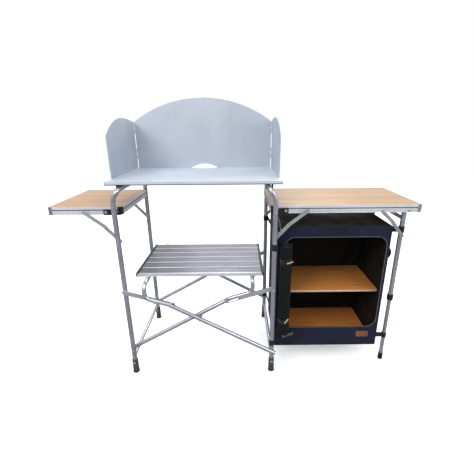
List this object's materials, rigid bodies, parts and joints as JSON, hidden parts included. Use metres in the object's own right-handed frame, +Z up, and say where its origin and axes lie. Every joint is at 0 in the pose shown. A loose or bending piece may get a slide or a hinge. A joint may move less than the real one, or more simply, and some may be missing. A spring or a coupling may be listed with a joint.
{
  "type": "folding camp kitchen table",
  "caption": "Folding camp kitchen with a scissor tower, metal cooking top and windshield, slatted shelf, two side tables and a hanging fabric cupboard.",
  "frame": {"origin": "on the floor, midway between the four legs of the centre tower", "axes": "+X to the right toward the cupboard, +Y to the back, +Z up"},
  "size_m": [1.358, 0.4634, 1.0939],
  "materials": {
    "tube": "satin",
    "sheet": "satin",
    "fasteners": "satin",
    "black_plastic": "matte",
    "foot_rubber": "matte",
    "bamboo": "satin",
    "cupboard_board": "satin",
    "navy_fabric": "matte",
    "black_fabric": "matte",
    "webbing": "matte",
    "zip": "matte"
  },
  "bodies": {
    "left_frame": {"left_leg_frame": "tube", "left_stretcher": "tube", "left_feet": "foot_rubber", "left_leg_pins": "fasteners"},
    "cross_b": {"cross_tube_b": "tube", "cross_b_pins": "fasteners"},
    "cross_a": {"cross_tube_a": "tube", "cross_a_rivets": "fasteners"},
    "left_link_pair": {"left_links": "fasteners"},
    "right_link_pair": {"right_links": "fasteners"},
    "right_frame": {"right_leg_frame": "tube", "right_stretcher": "tube", "right_feet": "foot_rubber", "right_leg_pins": "fasteners", "cupboard_front": "navy_fabric", "cupboard_sides": "navy_fabric", "cupboard_back": "black_fabric", "cupboard_top": "black_fabric", "cupboard_bottom": "black_fabric", "cupboard_piping": "zip", "door_roll": "black_fabric", "cupboard_straps": "webbing", "cupboard_handle": "webbing", "lower_board": "cupboard_board"},
    "upper_board_body": {"upper_board": "cupboard_board"},
    "shelf": {"shelf_slats": "tube", "shelf_end_rails": "black_plastic", "shelf_edge_rails": "tube", "shelf_clips": "black_plastic"},
    "metal_top": {"top_plate": "sheet", "top_plate_clips": "black_plastic"},
    "windshield": {"windshield_back": "sheet"},
    "left_wing_panel": {"left_wing": "sheet"},
    "right_wing_panel": {"right_wing": "sheet"},
    "left_table": {"left_table_board": "bamboo", "left_table_side_rails": "tube", "left_table_end_rails": "tube", "left_table_corners": "black_plastic", "left_table_brackets": "black_plastic", "left_table_pins": "fasteners"},
    "left_stay_upper": {"left_upper_stays": "fasteners"},
    "left_stay_lower": {"left_lower_stays": "fasteners"},
    "right_table": {"right_table_board": "bamboo", "right_table_side_rails": "tube", "right_table_end_rails": "tube", "right_table_corners": "black_plastic", "right_table_brackets": "black_plastic", "right_table_pins": "fasteners"},
    "right_stay_upper": {"right_upper_stays": "fasteners"},
    "right_stay_lower": {"right_lower_stays": "fasteners", "stay_springs": "fasteners"},
    "outer_leg": {"outer_upper_legs": "tube", "outer_stretcher": "tube", "outer_collars": "black_plastic", "outer_leg_pins": "fasteners", "outer_straps": "webbing"},
    "outer_leg_lower": {"outer_lower_legs": "tube", "outer_feet": "foot_rubber"},
    "outer_stay_upper": {"outer_upper_stays": "fasteners"},
    "outer_stay_lower": {"outer_lower_stays": "fasteners"}
  },
  "joints": [
    {"name": "tower_fold", "type": "hinge", "parent": "left_frame", "child": "cross_b", "pos_m": [-0.285, 0, 0.108], "axis": [0, -1, 0], "range_deg": [0, 35]},
    {"name": "crossing", "type": "hinge", "parent": "cross_b", "child": "cross_a", "pos_m": [0, 0, 0.267], "axis": [0, 1, 0], "range_deg": [0, 70]},
    {"name": "right_frame_pivot", "type": "hinge", "parent": "cross_a", "child": "right_frame", "pos_m": [0.285, 0, 0.108], "axis": [0, -1, 0], "range_deg": [0, 35]},
    {"name": "shelf_tilt", "type": "hinge", "parent": "cross_b", "child": "shelf", "pos_m": [0.20518, 0, 0.41502], "axis": [0, 1, 0], "range_deg": [0, 35]},
    {"name": "left_link_turn", "type": "hinge", "parent": "left_frame", "child": "left_link_pair", "pos_m": [-0.285, 0, 0.38], "axis": [0, -1, 0], "range_deg": [0, 73.2]},
    {"name": "right_link_turn", "type": "hinge", "parent": "right_frame", "child": "right_link_pair", "pos_m": [0.285, 0, 0.38], "axis": [0, 1, 0], "range_deg": [0, 73.2]},
    {"name": "top_lift", "type": "slide", "parent": "left_frame", "child": "metal_top", "axis": [0, 0, 1], "range_m": [0, 0.15]},
    {"name": "windshield_lift", "type": "slide", "parent": "metal_top", "child": "windshield", "axis": [0, 0, 1], "range_m": [0, 0.06]},
    {"name": "left_wing_fold", "type": "hinge", "parent": "windshield", "child": "left_wing_panel", "pos_m": [-0.3035, 0.1885, 0.9], "axis": [0, 0, 1], "range_deg": [0, 88]},
    {"name": "right_wing_fold", "type": "hinge", "parent": "windshield", "child": "right_wing_panel", "pos_m": [0.3035, 0.1855, 0.9], "axis": [0, 0, 1], "range_deg": [-88, 0]},
    {"name": "left_table_fold", "type": "hinge", "parent": "left_frame", "child": "left_table", "pos_m": [-0.285, 0, 0.689], "axis": [0, 1, 0], "range_deg": [-90, 0]},
    {"name": "left_stay_upper_turn", "type": "hinge", "parent": "left_table", "child": "left_stay_upper", "pos_m": [-0.404, 0, 0.686], "axis": [0, 1, 0], "range_deg": [-41.5, 0]},
    {"name": "left_stay_lower_turn", "type": "hinge", "parent": "left_frame", "child": "left_stay_lower", "pos_m": [-0.285, 0, 0.577], "axis": [0, 1, 0], "range_deg": [0, 54.1]},
    {"name": "right_table_fold", "type": "hinge", "parent": "right_frame", "child": "right_table", "pos_m": [0.285, 0, 0.689], "axis": [0, -1, 0], "range_deg": [-90, 0], "deforming": ["cupboard_front", "cupboard_sides", "cupboard_back", "cupboard_top", "cupboard_bottom", "cupboard_piping", "door_roll", "cupboard_straps", "cupboard_handle"]},
    {"name": "right_stay_upper_turn", "type": "hinge", "parent": "right_table", "child": "right_stay_upper", "pos_m": [0.404, 0, 0.686], "axis": [0, -1, 0], "range_deg": [-41.5, 0]},
    {"name": "right_stay_lower_turn", "type": "hinge", "parent": "right_frame", "child": "right_stay_lower", "pos_m": [0.285, 0, 0.577], "axis": [0, -1, 0], "range_deg": [0, 54.1]},
    {"name": "outer_leg_fold", "type": "hinge", "parent": "right_table", "child": "outer_leg", "pos_m": [0.776, 0, 0.682], "axis": [0, -1, 0], "range_deg": [-90, 0], "deforming": ["cupboard_front", "cupboard_sides", "cupboard_back", "cupboard_top", "cupboard_bottom", "cupboard_piping", "door_roll", "cupboard_straps", "cupboard_handle", "outer_straps"]},
    {"name": "outer_leg_slide", "type": "slide", "parent": "outer_leg", "child": "outer_leg_lower", "axis": [0, 0, 1], "range_m": [0, 0.2252]},
    {"name": "outer_stay_upper_turn", "type": "hinge", "parent": "right_table", "child": "outer_stay_upper", "pos_m": [0.68, 0, 0.682], "axis": [0, 1, 0], "range_deg": [-46.9, 0]},
    {"name": "outer_stay_lower_turn", "type": "hinge", "parent": "outer_leg", "child": "outer_stay_lower", "pos_m": [0.776, 0, 0.579], "axis": [0, 1, 0], "range_deg": [0, 46.9]},
    {"name": "upper_board_drop", "type": "slide", "parent": "right_frame", "child": "upper_board_body", "axis": [0, 0, 1], "range_m": [-0.2182, 0]}
  ],
  "couplings": [
    {"joint": "crossing", "follows": "tower_fold", "ratio": 2},
    {"joint": "right_frame_pivot", "follows": "tower_fold", "ratio": 1},
    {"joint": "shelf_tilt", "follows": "tower_fold", "ratio": 1},
    {"joint": "left_link_turn", "follows": "tower_fold", "ratio": 2.09},
    {"joint": "right_link_turn", "follows": "tower_fold", "ratio": 2.09},
    {"joint": "left_stay_upper_turn", "follows": "left_table_fold", "ratio": 0.46},
    {"joint": "left_stay_lower_turn", "follows": "left_table_fold", "ratio": -0.6},
    {"joint": "right_stay_upper_turn", "follows": "right_table_fold", "ratio": 0.46},
    {"joint": "right_stay_lower_turn", "follows": "right_table_fold", "ratio": -0.6},
    {"joint": "outer_leg_slide", "follows": "outer_leg_fold", "m_per_rad": -0.14324},
    {"joint": "outer_stay_upper_turn", "follows": "outer_leg_fold", "ratio": 0.52},
    {"joint": "outer_stay_lower_turn", "follows": "outer_leg_fold", "ratio": -0.52},
    {"joint": "upper_board_drop", "follows": "right_table_fold", "m_per_rad": 0.13878}
  ]
}
